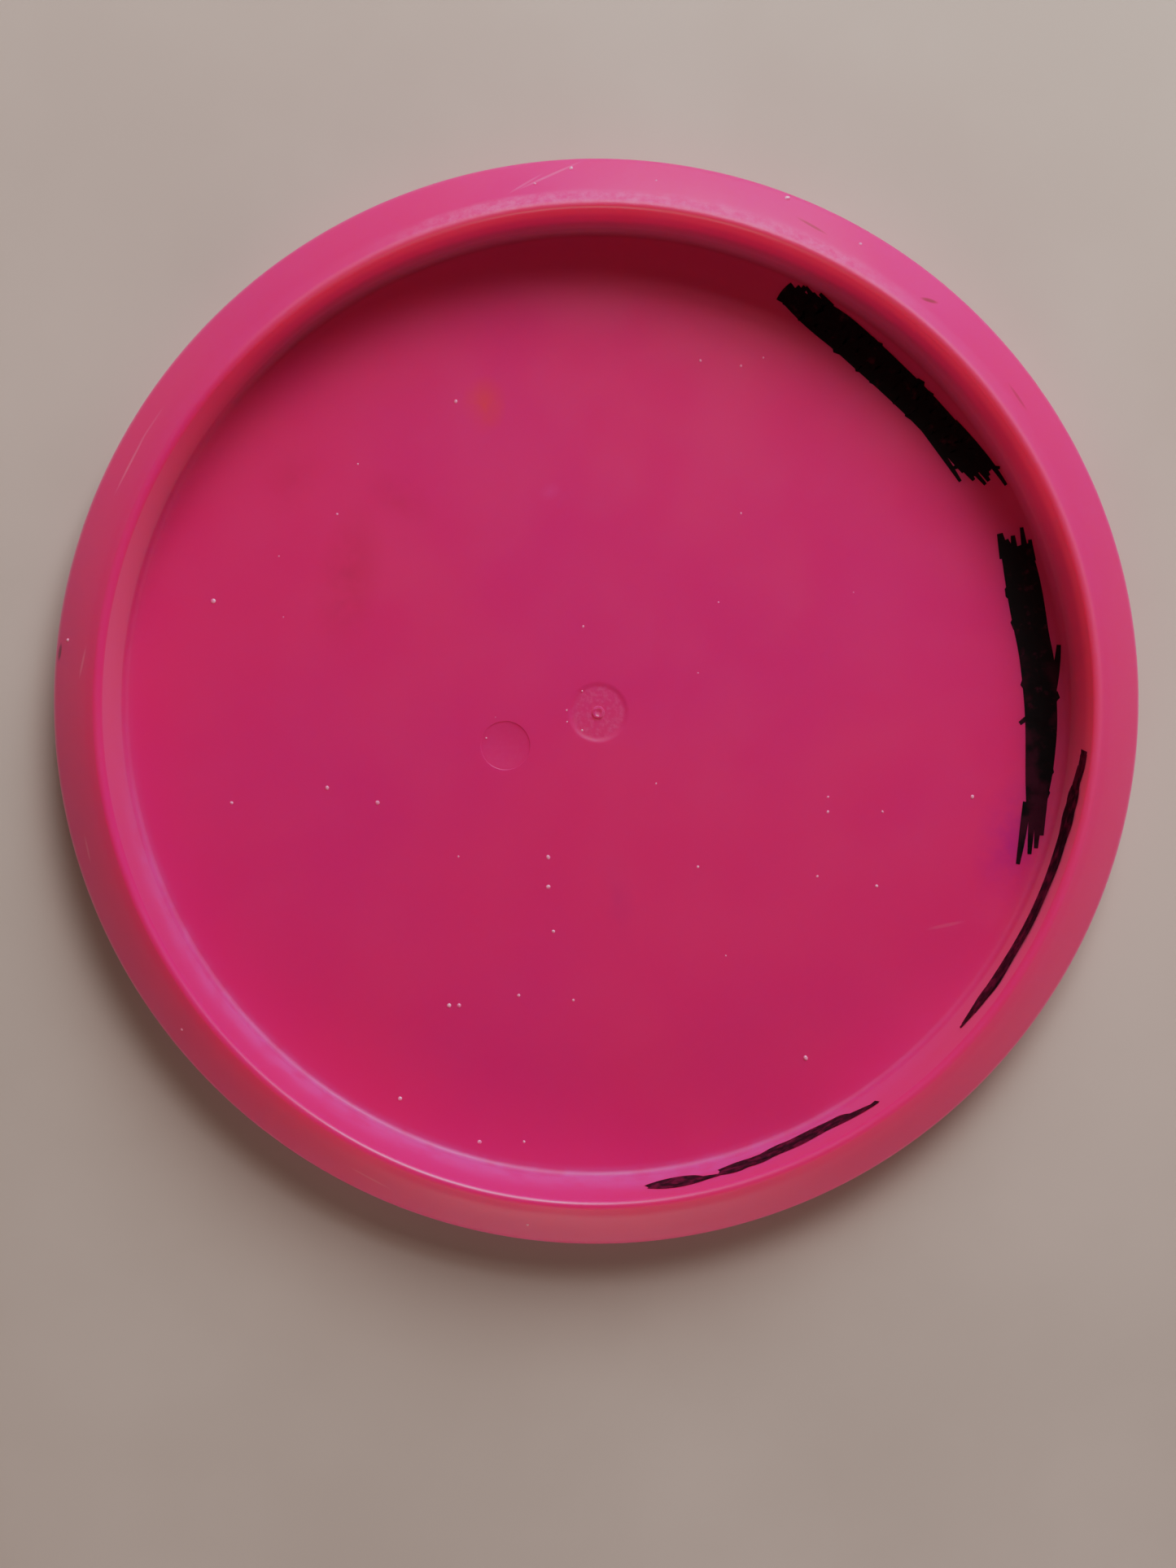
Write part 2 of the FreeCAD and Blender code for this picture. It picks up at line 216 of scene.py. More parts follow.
# %% Round and spin
roundings = [
    (slow_corner, (slow_corner.x - flat_edge), 6),
    (low_corner, nose_height - low_corner.y, 16),
    (nose_corner, nose_corner.y - nose_height, 7),
    (top_out, top_out.x - ridge_middle.x, 5),
    (top_in, ridge_middle.x - top_in.x, 8),
    (Vector((hollow, plate)), foot_round, 4),
]
bpy.ops.object.mode_set(mode="EDIT")
for corner, length, pieces in roundings:
    found = pick_points(disc, lambda co: (Vector((co.x, co.z)) - corner).length < 1e-5)
    assert found == 1, (corner, found)
    bpy.ops.mesh.bevel(offset_type="OFFSET", offset=length, segments=pieces, affect="VERTICES",
                       profile=0.5, clamp_overlap=False)
bpy.ops.mesh.select_all(action="SELECT")
bpy.ops.mesh.spin(steps=360, angle=2 * math.pi, center=(0, 0, 0), axis=(0, 0, 1), dupli=False)
bpy.ops.mesh.select_all(action="SELECT")
bpy.ops.mesh.remove_doubles(threshold=2e-6)
bpy.ops.mesh.normals_make_consistent(inside=False)
bpy.ops.object.mode_set(mode="OBJECT")
print("disc_body:", len(disc.data.vertices), "points, box",
      [round(d / mm, 2) for d in disc.dimensions])

# %% [markdown]
# ## The round mark beside the gate
# A pin that pushes the disc out of its mould leaves a shallow round dent in the plate. It is
# off the axis, so it can't be spun with the rest: a short cylinder, softened round its foot,
# is cut away with a Boolean modifier.

# %% Pin mark
begin()
bpy.ops.mesh.primitive_cylinder_add(vertices=96, radius=4.9 * mm, depth=2 * mm,
                                    location=(-18.5 * mm, -6.6 * mm, plate - recess + mm))
pin = bpy.context.object
bpy.ops.object.mode_set(mode="EDIT")
pick_points(pin, lambda co: co.z < 0)
bpy.ops.mesh.select_mode(type="EDGE")
bpy.ops.mesh.bevel(offset=0.09 * mm, segments=3, affect="EDGES")
bpy.ops.object.mode_set(mode="OBJECT")

begin()
disc.select_set(True)
bpy.context.view_layer.objects.active = disc
cut = disc.modifiers.new("pin_mark", "BOOLEAN")
cut.operation, cut.solver, cut.object = "DIFFERENCE", "EXACT", pin
bpy.ops.object.modifier_apply(modifier=cut.name)
bpy.data.objects.remove(pin)
bpy.ops.object.shade_smooth_by_angle(angle=math.radians(38))
print("disc_body:", len(disc.data.polygons), "faces")

# %% [markdown]
# ## Bubbles
# Small pimples stand on the plastic, about a millimetre across or less. They are probably
# bubbles of gas under the skin.
# One flattened sphere is modelled and copied to where they sit. Most are on the plate, a
# few on the outer band of the rim. (x, y, diameter) in millimetres.

# %% Bubbles
bubbles = [
    (-76, 22, 1.0), (-54, -15, 0.9), (-73, -18, 0.7), (-44, -18, 0.9), (-28, 61, 0.7),
    (20, 69, 0.6), (28, 68, 0.6), (-10, -29, 1.0), (-10, -35, 0.9), (-9, -44, 0.7),
    (-16, -57, 0.7), (-5, -58, 0.6), (-30, -59, 0.9), (-28, -59, 0.9), (42, -70, 1.1),
    (-40, -78, 0.9), (-24, -87, 0.9), (-15, -87, 0.6),
    (46, -20, 0.7), (46, -17, 0.6), (57, -20, 0.6), (44, -33, 0.6), (56, -35, 0.7), (75, -17, 0.9),
    (20, -31, 0.6), (-3, 17, 0.5), (-3.2, 4.2, 0.4), (-3.2, -3.6, 0.5), (-6.3, 0.4, 0.4),
    (-6.2, -1.9, 0.4),
]
band_bubbles = [                 # (direction in degrees, radius, diameter)
    (70, 104.4, 1.2), (93, 103.4, 0.9), (97, 100.6, 0.6), (61, 102.0, 0.7), (84, 101.2, 0.5),
    (172, 103.0, 0.7), (217, 101.8, 0.6), (262, 101.4, 0.6),
]
chance = random.Random(7)
for _ in range(14):              # a few faint ones, anywhere on the plate
    away, turn = 85 * chance.random() ** 0.5, chance.uniform(0, 2 * math.pi)
    bubbles.append((away * math.cos(turn), away * math.sin(turn), chance.uniform(0.3, 0.5)))

begin()
bpy.ops.mesh.primitive_uv_sphere_add(segments=14, ring_count=8, radius=0.5 * mm)
pattern = bpy.context.object
bpy.ops.object.mode_set(mode="EDIT")
bpy.ops.mesh.select_all(action="SELECT")
bpy.ops.transform.resize(value=(1, 1, 0.55), center_override=(0, 0, 0))
bpy.ops.object.mode_set(mode="OBJECT")
bpy.ops.object.shade_smooth()
places = []
for x, y, wide in bubbles:
    inside_gate = math.hypot(x, y) < 5.2
    floor_level = plate - (recess if inside_gate else 0)
    places.append((Vector((x, y, 0)) * mm + Vector((0, 0, floor_level)), wide))
for direction, reach, wide in band_bubbles:
    turn = math.radians(direction)
    places.append((Vector((reach * mm * math.cos(turn), reach * mm * math.sin(turn),
                           band_low.y + band_slope * (reach * mm - band_low.x))), wide))
copies = []
for place, wide in places:
    begin()
    pattern.select_set(True)
    bpy.context.view_layer.objects.active = pattern
    bpy.ops.object.duplicate()
    copy = bpy.context.object
    copy.scale = (wide, wide * chance.uniform(0.8, 1.1), wide)
    copy.rotation_euler.z = chance.uniform(0, 3)
    copy.location = place - Vector((0, 0, 0.03 * mm))
    copies.append(copy)
begin()
bpy.data.objects.remove(pattern)
for copy in copies:
    copy.select_set(True)
bpy.context.view_layer.objects.active = copies[0]
bpy.ops.object.join()
bpy.ops.object.transform_apply(location=True, rotation=True, scale=True)
bubble_piece = bpy.context.object
bubble_piece.name = bubble_piece.data.name = "plate_bubbles"
print("plate_bubbles:", len(places), "bubbles,", len(bubble_piece.data.polygons), "faces")

# %% [markdown]
# ## Pen strokes
# A word is blocked out by drawing over it many times. Each stroke of the pen is a thin flat
# ribbon: a NURBS path with a little width and thickness, narrower where the pen lands and
# leaves, turned into a mesh. Strokes cross at slightly different levels, as layers of ink do.

# %% A stroke of the pen
def pen_stroke(points, width, flat=True, taper=(0.55, 0.35)):
    """One ribbon of ink along points (metres). flat lies level; otherwise it stands upright."""
    begin()
    bpy.ops.curve.primitive_nurbs_path_add()
    stroke = bpy.context.object
    stroke.location = (0, 0, 0)
    shape = stroke.data
    shape.splines.clear()
    line = shape.splines.new("NURBS")
    line.points.add(len(points) - 1)
    for i, place in enumerate(points):
        point = line.points[i]
        point.co = (*place, 1)
        point.tilt = math.pi / 2 if flat else 0.0
        ends = min(1.0, taper[0] + i * 0.45, taper[1] + (len(points) - 1 - i) * 0.45)
        point.radius = ends
    line.order_u, line.use_endpoint_u = 3, True
    shape.dimensions, shape.twist_mode = "3D", "Z_UP"
    shape.resolution_u = 5
    shape.extrude = width / 2 - 0.012 * mm
    shape.bevel_depth, shape.bevel_resolution = 0.012 * mm, 1
    shape.use_fill_caps = True
    bpy.ops.object.convert(target="MESH")
    return bpy.context.object


def join_strokes(strokes, name):
    """All strokes of one word as a single piece."""
    begin()
    for stroke in strokes:
        stroke.select_set(True)
    bpy.context.view_layer.objects.active = strokes[0]
    bpy.ops.object.join()
    bpy.ops.object.transform_apply(location=True, rotation=True, scale=True)
    bpy.ops.object.shade_smooth_by_angle(angle=math.radians(8))
    piece = bpy.context.object
    piece.name = piece.data.name = name
    print(name, "-", len(strokes), "strokes,", len(piece.data.polygons), "faces")
    return piece


# %% [markdown]
# ## The two words blocked out on the plate
# The long strokes follow the rim. Each band of strokes is given by a few rungs across it, as
# on a ladder: the side towards the middle of the disc and the side towards the rim, in
# millimetres. A stroke runs along the ladder at its own share of the width, and starts and
# ends where it likes, which makes the ragged ends.

# %% Strokes along a ladder
name_rungs = [
    ((35.2, 80.1), (40.4, 83.6)), ((45.5, 71.0), (51.6, 76.8)), ((57.7, 60.8), (64.2, 65.0)),
    ((66.8, 52.8), (73.4, 54.8)), ((72.2, 45.4), (81.2, 45.4)),
]
number_rungs = [
    ((78.8, 35.0), (85.0, 36.0)), ((80.4, 30.0), (87.0, 30.6)), ((81.6, 20.0), (89.1, 20.6)),
    ((84.0, 11.0), (91.2, 11.6)), ((85.2, 3.0), (92.1, 3.0)), ((85.8, -10.0), (91.6, -9.6)),
    ((85.6, -19.0), (90.2, -19.4)), ((85.2, -26.0), (88.8, -25.2)),
]


def on_ladder(rungs, along, across):
    """A place on the ladder: along from 0 to 1, across from 0 (inner) to 1 (rim side)."""
    reach = max(0.0, min(1.0, along)) * (len(rungs) - 1)
    i = min(int(reach), len(rungs) - 2)
    part = reach - i
    inner = Vector(rungs[i][0]).lerp(Vector(rungs[i + 1][0]), part)
    rim = Vector(rungs[i][1]).lerp(Vector(rungs[i + 1][1]), part)
    return inner.lerp(rim, across)


def long_stroke(rungs, across, start, end, width, level, rng, wobble=0.25):
    """A stroke along the ladder at one share of its width."""
    points = []
    count = 12
    for i in range(count):
        place = on_ladder(rungs, start + (end - start) * i / (count - 1), across)
        points.append((place.x * mm + rng.gauss(0, wobble) * mm * 0.5,
                       place.y * mm + rng.gauss(0, wobble) * mm * 0.5, plate + level * mm))
    return pen_stroke(points, width * mm)


def scribble(rungs, start, end, turns, width, level, rng):
    """One stroke that runs to and fro across the ladder, and makes the bumpy edges."""
    points = []
    for i in range(turns + 1):
        across = rng.uniform(-0.22, 0.08) if i % 2 else rng.uniform(0.92, 1.20)
        along = start + (end - start) * (i + rng.uniform(-0.3, 0.3)) / turns
        place = on_ladder(rungs, along, across)
        points.append((place.x * mm, place.y * mm, plate + level * mm))
    return pen_stroke(points, width * mm)


def short_stroke(path, width, level, taper=(0.9, 0.45)):
    """A spike of ink on the plate. path in millimetres."""
    points = [(x * mm, y * mm, plate + level * mm) for x, y in path]
    return pen_stroke(points, width * mm, taper=taper)


print("ladders of", len(name_rungs), "and", len(number_rungs), "rungs")

# %% [markdown]
# ### The name
# Seven long strokes, two scribbles that run to and fro over them, a few spikes where the pen
# shot past the ends, and two broad strokes that fill the blunt end at the left. The seeded
# wobble gives the edges their raggedness.

# %% The blocked-out name
pen = random.Random(3)
plans = [(0.18, 0.00, 0.93), (0.27, 0.02, 0.99), (0.38, 0.00, 0.96), (0.49, 0.01, 0.95),
         (0.60, 0.03, 0.99), (0.71, 0.00, 0.96), (0.80, 0.04, 0.93)]
strokes = [long_stroke(name_rungs, across, start, end, 2.0, 0.030 + 0.003 * i, pen)
           for i, (across, start, end) in enumerate(plans)]
strokes.append(scribble(name_rungs, 0.01, 0.90, 33, 1.9, 0.054, pen))
strokes.append(scribble(name_rungs, 0.08, 0.92, 22, 1.7, 0.058, pen))
spikes = [[(63.5, 56.8), (68.4, 50.4), (71.6, 45.6)], [(67.6, 54.4), (73.0, 49.0), (76.6, 45.0)],
          [(70.2, 57.2), (77.0, 50.4), (80.7, 44.9)], [(37.8, 80.6), (35.6, 81.6)],
          [(42.6, 80.6), (40.6, 83.3)], [(45.8, 79.4), (43.4, 82.0)]]
for i, path in enumerate(spikes):
    strokes.append(short_stroke(path, 1.4, 0.045 + 0.003 * i))
blunt_end = [[(35.9, 80.3), (36.8, 82.0), (38.4, 83.2)], [(37.0, 79.4), (38.0, 81.0), (40.0, 82.8)]]
for i, path in enumerate(blunt_end):
    strokes.append(short_stroke(path, 2.6, 0.034 + 0.003 * i, (0.9, 0.9)))
name_ink = join_strokes(strokes, "name_strokes")

# %% [markdown]
# ### The number
# Six long strokes cover two scribbles, whose ends show as small lumps at random places, and
# nine spikes stick out, most of them at the two ends. The spikes are plain and nearly
# straight: nothing here follows a letter or a digit.

# %% The blocked-out number
pen = random.Random(5)
plans = [(0.14, 0.04, 0.86), (0.27, 0.03, 0.92), (0.40, 0.07, 0.93), (0.54, 0.08, 0.91),
         (0.68, 0.06, 0.88), (0.82, 0.10, 0.84)]
strokes = [long_stroke(number_rungs, across, start, end, 2.0, 0.040 + 0.002 * i, pen)
           for i, (across, start, end) in enumerate(plans)]
strokes.append(scribble(number_rungs, 0.07, 0.90, 27, 1.9, 0.020, pen))
strokes.append(scribble(number_rungs, 0.10, 0.62, 11, 2.4, 0.028, pen))
spikes = [([(80.8, 30.6), (79.6, 35.4)], 2.6), ([(82.8, 30.6), (82.2, 35.0)], 1.9),
          ([(84.9, 31.0), (83.9, 36.6)], 1.6), ([(86.2, 30.0), (85.6, 34.2)], 1.6),
          ([(90.2, 2.0), (91.5, 7.4), (91.8, 13.4)], 1.9),
          ([(86.0, -18.0), (85.3, -25.0), (84.4, -30.6)], 1.8),
          ([(87.2, -19.0), (86.7, -28.6)], 1.8), ([(88.4, -20.0), (88.0, -27.4)], 1.8),
          ([(89.4, -17.0), (89.1, -24.8)], 1.8)]
for i, (path, width) in enumerate(spikes):
    strokes.append(short_stroke(path, width, 0.042 + 0.002 * i))
number_ink = join_strokes(strokes, "number_strokes")

# %% [markdown]
# ## The two words blocked out on the wall
# Here the pen went along the leaning inner wall. A path is given by its direction round the
# disc in degrees and its height above the resting face in millimetres, and it lies a hair in
# front of the wall. The ribbons stand upright, flat against it.

# %% Strokes on the wall
def wall_stroke(path, width, lift, taper=(0.7, 0.4)):
    """A ribbon on the inner wall. path holds (degrees, height in mm)."""
    points = []
    for degrees, tall in path:
        turn, away = math.radians(degrees), wall_radius(tall * mm) - lift * mm
        points.append((away * math.cos(turn), away * math.sin(turn), tall * mm))
    return pen_stroke(points, width * mm, flat=False, taper=taper)


right_lines = [
    ([(-4.6, 13.2), (-5.6, 13.0), (-7.0, 12.6), (-9.0, 12.0)], 4.6),
    ([(-4.3, 13.3), (-5.0, 13.2), (-6.2, 12.9)], 4.4),
    ([(-4.8, 13.2), (-7, 12.2), (-10.5, 11.4), (-14, 11.2), (-20, 11.4), (-26, 11.2),
      (-32, 11.3), (-38, 11.8), (-41, 11.7)], 3.5),
    ([(-6.5, 11.8), (-8, 10.8), (-11, 9.4), (-15, 9.3), (-21, 9.9), (-27, 10.0), (-33, 9.6),
      (-37, 9.9), (-40, 11.0)], 3.2),
    ([(-8.5, 11.2), (-9.6, 8.4), (-11, 9.0), (-12.4, 7.9), (-13.5, 8.6), (-16, 9.4), (-20, 10.6),
      (-23, 9.8), (-27, 10.4), (-30, 9.6), (-34, 10.4), (-36, 9.2), (-38, 10.2),
      (-40.5, 11.2)], 2.8),
    ([(-9, 12.4), (-10, 13.2), (-11.4, 12.2), (-13, 12.9), (-15, 11.9), (-18, 12.3), (-22, 11.6),
      (-26, 12.1), (-31, 11.6), (-34, 12.8), (-36, 12.3), (-38.5, 12.5)], 2.6),
]
strokes = [wall_stroke(path, width, 0.020 + 0.010 * i, (0.95, 0.35))
           for i, (path, width) in enumerate(right_lines)]
right_ink = join_strokes(strokes, "wall_strokes_right")

lower_lines = [
    ([(-84.2, 10.8), (-82.5, 9.2), (-80, 8.6), (-78.4, 9.4), (-77.4, 10.6)], 3.2),
    ([(-84.0, 11.0), (-82, 12.2), (-79, 12.1), (-76.6, 11.0), (-75.4, 11.6)], 3.0),
    ([(-83.6, 10.7), (-80.6, 10.5), (-78.6, 10.8), (-75.2, 11.4)], 3.0),
    ([(-75.2, 9.6), (-73, 8.6), (-71, 9.0), (-68, 8.3), (-64, 8.4), (-60.5, 8.8), (-57.2, 10.6),
      (-54.6, 12.0)], 3.8),
    ([(-75.4, 10.6), (-73.4, 11.6), (-72, 10.2), (-70, 10.8), (-68.4, 9.4), (-65, 9.8),
      (-62, 9.2), (-58.6, 9.9)], 3.3),
    ([(-69.6, 7.8), (-68, 6.8), (-66, 7.2), (-63, 6.6), (-60.6, 7.5), (-59.2, 7.2),
      (-58.2, 8.8)], 3.1),
    ([(-54.9, 10.6), (-54.3, 12.6)], 2.0),
]
strokes = [wall_stroke(path, width, 0.022 + 0.008 * i)
           for i, (path, width) in enumerate(lower_lines)]
lower_ink = join_strokes(strokes, "wall_strokes_lower")

# %% [markdown]
# ## Node helpers
# Materials are built from nodes. These helpers add one node and join sockets, so that the
# material cells read as a recipe. Every pattern reads Object coordinates, in metres.

# %% Helpers for materials
class Recipe:
    """The node tree of one material, with short ways to add to it."""

    def __init__(self, name):
        self.material = bpy.data.materials.new(name)
        self.material.use_nodes = True
        self.tree = self.material.node_tree
        self.shader = self.tree.nodes["Principled BSDF"]
        self.place = self.node("ShaderNodeTexCoord").outputs["Object"]

    def node(self, kind, **settings):
        node = self.tree.nodes.new(kind)
        for name, value in settings.items():
            setattr(node, name, value)
        return node

    def join(self, source, target):
        self.tree.links.new(source, target)

    def placed(self, centre=(0, 0, 0), size=(1, 1, 1), turn=0.0):
        """Coordinates for a pattern laid at a centre, this large (millimetres) and turned."""
        mapping = self.node("ShaderNodeMapping", vector_type="TEXTURE")
        mapping.inputs["Location"].default_value = [c * mm for c in centre]
        mapping.inputs["Rotation"].default_value = (0, 0, turn)
        mapping.inputs["Scale"].default_value = [c * mm for c in size]
        self.join(self.place, mapping.inputs["Vector"])
        return mapping.outputs[0]

    def noise(self, scale, detail=3.0, rough=0.5, vector=None):
        node = self.node("ShaderNodeTexNoise")
        node.inputs["Scale"].default_value = scale
        node.inputs["Detail"].default_value = detail
        node.inputs["Roughness"].default_value = rough
        self.join(vector or self.place, node.inputs["Vector"])
        return node.outputs["Fac"]

    def ramp(self, value, low, high, out_low=0.0, out_high=1.0, smooth=True):
        node = self.node("ShaderNodeMapRange", clamp=True)
        node.interpolation_type = "SMOOTHSTEP" if smooth else "LINEAR"
        for name, number in (("From Min", low), ("From Max", high),
                             ("To Min", out_low), ("To Max", out_high)):
            node.inputs[name].default_value = number
        self.join(value, node.inputs["Value"])
        return node.outputs["Result"]

    def math(self, operation, a, b):
        node = self.node("ShaderNodeMath", operation=operation)
        for socket, value in zip(node.inputs, (a, b)):
            if isinstance(value, (int, float)):
                socket.default_value = value
            else:
                self.join(value, socket)
        return node.outputs[0]

    def mix(self, amount, first, second):
        """Colours mixed by a mask; first and second are colours or sockets."""
        node = self.node("ShaderNodeMix", data_type="RGBA")
        if isinstance(amount, (int, float)):
            node.inputs["Factor"].default_value = amount
        else:
            self.join(amount, node.inputs["Factor"])
        for name, value in (("A", first), ("B", second)):
            socket = [s for s in node.inputs if s.name == name and s.type == "RGBA"][0]
            if isinstance(value, tuple):
                socket.default_value = (*value, 1)
            else:
                self.join(value, socket)
        return [s for s in node.outputs if s.type == "RGBA"][0]

    def spot(self, centre, size, turn=0.0):
        """1 in the middle of a soft spot, 0 outside it. size holds its half axes in millimetres."""
        ball = self.node("ShaderNodeTexGradient", gradient_type="SPHERICAL")
        self.join(self.placed(centre, size, turn), ball.inputs["Vector"])
        return ball.outputs["Fac"]

    def from_axis(self):
        """Distance from the disc's axis, and height, in metres."""
        flat = self.node("ShaderNodeVectorMath", operation="MULTIPLY")
        flat.inputs[1].default_value = (1, 1, 0)
        self.join(self.place, flat.inputs[0])
        length = self.node("ShaderNodeVectorMath", operation="LENGTH")
        self.join(flat.outputs[0], length.inputs[0])
        parts = self.node("ShaderNodeSeparateXYZ")
        self.join(self.place, parts.inputs[0])
        return length.outputs["Value"], parts.outputs["Z"]


# %% [markdown]
# ## Hot pink plastic
# The disc is a soft satin plastic, dyed right through. It is not quite even: the colour
# clouds a little, faint smudges and a drop of orange sit on the plate, the ridge is scuffed
# pale, and the whole face has fine hairline scratches. A little light goes into the plastic
# and comes out redder.

# %% The plastic's colour
pink = Recipe("hot_pink_plastic")
away, tall = pink.from_axis()

clouds = pink.ramp(pink.noise(14, 2), 0.35, 0.65)
colour = pink.mix(clouds, (0.75, 0.027, 0.195), (0.81, 0.030, 0.175))
streaks = pink.noise(1.0, 4, 0.6, pink.placed(size=(30, 6, 20), turn=0.5))
streaks = pink.ramp(streaks, 0.5, 0.75, 0.0, 0.08)
colour = pink.mix(streaks, colour, (0.80, 0.06, 0.18))

# soft marks: centre, half sizes, turn, strength, colour
stains_and_sheen = [((-22.4, 60.3, 2.4), (4.5, 6, 5), 0.0, 0.42, (0.88, 0.06, 0.04)),   # a drop of orange
          ((-49, 27, 2.4), (7, 16, 9), -0.2, 0.20, (0.30, 0.01, 0.04)),       # grey smudges
          ((-60, 46, 2.4), (9, 6, 9), 0.9, 0.12, (0.30, 0.01, 0.04)),
          ((-39, 42, 2.4), (8, 5, 9), -0.6, 0.14, (0.30, 0.01, 0.04)),
          ((4, -38, 2.4), (4, 11, 9), 0.1, 0.18, (0.52, 0.03, 0.20)),         # a faint blue streak
          ((83, -26, 2.4), (8, 15, 4), -0.2, 0.42, (0.46, 0.01, 0.24)),       # thinned ink
          # painted sheen: a purplish tint on the lower wall that faces the lamp, by the lower ink
          ((30, -89, 8), (34, 9, 8), 0.33, 0.34, (0.60, 0.02, 0.26)),
          ((-9.5, 43.5, 2.4), (2.4, 1.8, 3), 0.5, 0.35, (0.80, 0.07, 0.30))]
breakup = pink.ramp(pink.noise(190, 3), 0.30, 0.60, 0.35, 1.0)
for centre, size, turn, strength, tint in stains_and_sheen:
    mark = pink.math("MULTIPLY", pink.spot(centre, size, turn),
                     pink.math("MULTIPLY", breakup, strength * 1.6))
    colour = pink.mix(mark, colour, tint)

# Light from beyond shines through the thin top of the rim and reddens it, and the foot under it
# is dim. The scattering set below is too shallow to carry that far, so both are painted in:
# painted light on the top of the wall, and painted shade at its foot.
inside_wall = pink.ramp(away, 96.6 * mm, 95.6 * mm)
far_side = pink.ramp(pink.spot((8, 92, 9), (112, 60, 60)), 0.0, 0.45)
right_side = pink.ramp(pink.spot((40, 50, 9), (110, 110, 90)), 0.0, 0.40)
lit_through = pink.math("MAXIMUM", far_side, right_side)
painted_rim_light = pink.math("MULTIPLY", inside_wall, pink.ramp(tall, 11.5 * mm, 16.5 * mm))
painted_rim_light = pink.math("MULTIPLY", painted_rim_light, lit_through)
colour = pink.mix(pink.math("MULTIPLY", painted_rim_light, 0.9), colour, (1.0, 0.085, 0.22))
painted_foot_shade = pink.math("MULTIPLY", pink.ramp(tall, 11 * mm, 6 * mm),
                 pink.ramp(away, 92.4 * mm, 93.4 * mm))
painted_foot_shade = pink.math("MULTIPLY", painted_foot_shade, far_side)
colour = pink.mix(pink.math("MULTIPLY", painted_foot_shade, 0.55), colour, (0.40, 0.008, 0.07))

# Painted sheen: a paler, bluer tint low on the wall that faces the lamp. It may be dust or
# reflected light.
low_wall = pink.math("MULTIPLY", pink.ramp(away, 91.6 * mm, 93.6 * mm),
                     pink.ramp(tall, 15 * mm, 4 * mm))
facing_lamp = pink.ramp(pink.spot((-45, -80, 6), (125, 100, 60)), 0.0, 0.6, 0.0, 0.30)
painted_sheen = pink.math("MULTIPLY", low_wall, facing_lamp)
colour = pink.mix(pink.math("MULTIPLY", painted_sheen, breakup), colour, (0.66, 0.20, 0.56))
print("colour so far:", len(pink.tree.nodes), "nodes")

# %% [markdown]
# ### Wear
# Three kinds of wear: the ridge is rubbed pale, single scratches cross the outer band and the
# plate, and a haze of hairlines covers everything. Each scratch is a long thin spot laid
# about where the real one is.

# %% The plastic's wear
on_ridge = pink.math("MULTIPLY", pink.ramp(away, 95.2 * mm, 96.2 * mm),
                     pink.ramp(away, 99.0 * mm, 97.2 * mm))
rubbed_side = pink.spot((12, 98, 18), (62, 50, 40))
scuffs = pink.math("MULTIPLY", on_ridge, pink.ramp(rubbed_side, 0.0, 0.5))
scuffs = pink.math("MULTIPLY", scuffs, pink.ramp(pink.noise(520, 6, 0.7), 0.30, 0.72))
colour = pink.mix(pink.math("MULTIPLY", scuffs, 0.32), colour, (0.84, 0.36, 0.48))

# centre, half length, half width, turn in degrees, strength, pale or dark
scratches = [((-9, 102, 14), 9, 0.35, 28, 0.24, 1), ((-14, 100, 15), 5, 0.30, 35, 0.2, 1),
             ((40, 92.4, 17), 4.5, 0.45, -30, 0.7, 0), ((62.5, 78.5, 16), 2.4, 0.6, -10, 0.8, 0),
             ((79.5, 60.5, 17), 4.0, 0.45, -55, 0.5, 0), ((70, -43, 2.4), 5, 0.5, 12, 0.12, 1),
             ((-104, 12, 12), 2.2, 0.5, 80, 0.8, 0), ((-98.5, 10, 17), 4.0, 0.35, 75, 0.3, 1),
             ((-89, 48, 16), 9, 0.35, 62, 0.3, 1), ((-85, 55, 16), 6, 0.30, 55, 0.16, 1),
             ((-99, -26, 16), 4, 0.35, 100, 0.25, 1), ((-45, -91, 15), 6, 0.30, -30, 0.2, 1)]
for centre, long, thin, degrees, strength, pale in scratches:
    line = pink.spot(centre, (long, thin, 8), math.radians(degrees))
    line = pink.ramp(line, 0.05, 0.6, 0.0, strength)
    colour = pink.mix(line, colour, (0.88, 0.38, 0.48) if pale else (0.16, 0.01, 0.03))

# the moulding marks are frosted
frost = pink.math("MAXIMUM", pink.ramp(pink.spot((0, 0, 2.3), (6.2, 6.2, 3)), 0.05, 0.3),
                  pink.ramp(pink.spot((-18.5, -6.6, 2.3), (5.2, 5.2, 3)), 0.05, 0.3, 0.0, 0.25))
frost = pink.math("MULTIPLY", frost, pink.ramp(pink.noise(950, 4, 0.7), 0.42, 0.66, 0.04, 0.28))
colour = pink.mix(frost, colour, (0.86, 0.18, 0.36))
pink.join(colour, pink.shader.inputs["Base Color"])
print(len(stains_and_sheen), "stains and", len(scratches), "scratches")

# %% [markdown]
# ### Gloss and relief
# The face is satin: rougher where it is rubbed, on the ridge and low on the wall, and with a
# very shallow unevenness in it. The foot of the wall on the far and right sides is made
# rougher still, to keep a pale stripe off it: that is a choice for the look, not known wear.
# Red scatters farther than the other colours, so light that goes in comes out redder. A thin
# bluish sheen lies over the plastic seen at a slant.

